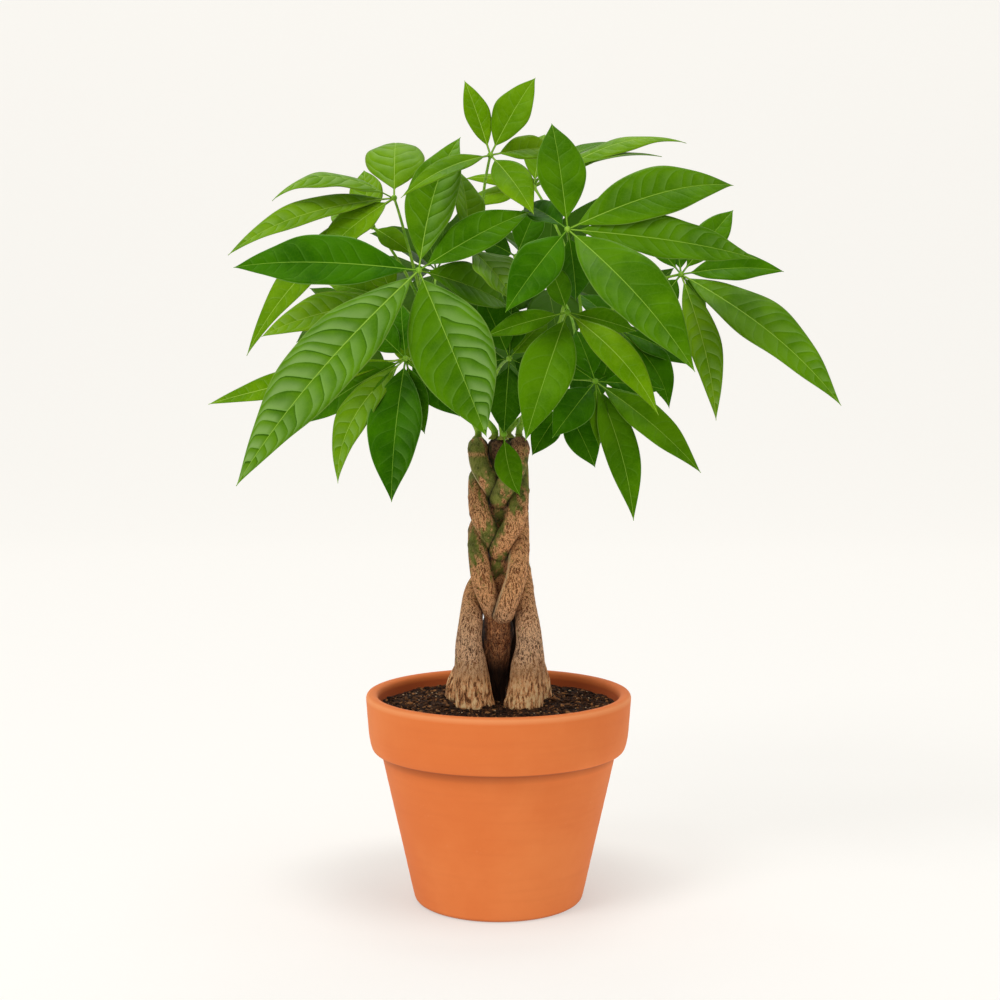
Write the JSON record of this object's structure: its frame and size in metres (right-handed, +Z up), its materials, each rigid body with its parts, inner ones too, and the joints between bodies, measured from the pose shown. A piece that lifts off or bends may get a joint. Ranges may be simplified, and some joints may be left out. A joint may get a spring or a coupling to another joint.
{
  "type": "potted money tree",
  "caption": "Braided-trunk money tree with an open crown of hand-shaped leaves, standing in soil in a round terracotta pot with a banded rim.",
  "frame": {"origin": "middle of the pot's foot, on the surface that it stands on", "axes": "+Z up through the trunk, -Y towards the front of the plant, +X to its right as seen from the front"},
  "size_m": [0.461, 0.3605, 0.6028],
  "materials": {
    "terracotta": "matt fired clay",
    "soil": "dark granular potting soil",
    "bark": "rough fibrous bark",
    "foliage": "smooth glossy leaf"
  },
  "bodies": {
    "root": {"pot": "terracotta", "soil": "soil", "trunk_back_left": "bark", "trunk_back_right": "bark", "trunk_front_right": "bark", "trunk_centre": "bark", "trunk_front_left": "bark", "leafy_stem_front_left": "foliage", "leafy_stem_back_left": "foliage", "leafy_stem_centre": "foliage", "leafy_stem_front_right": "foliage", "leafy_stem_back_right": "foliage"}
  },
  "joints": []
}
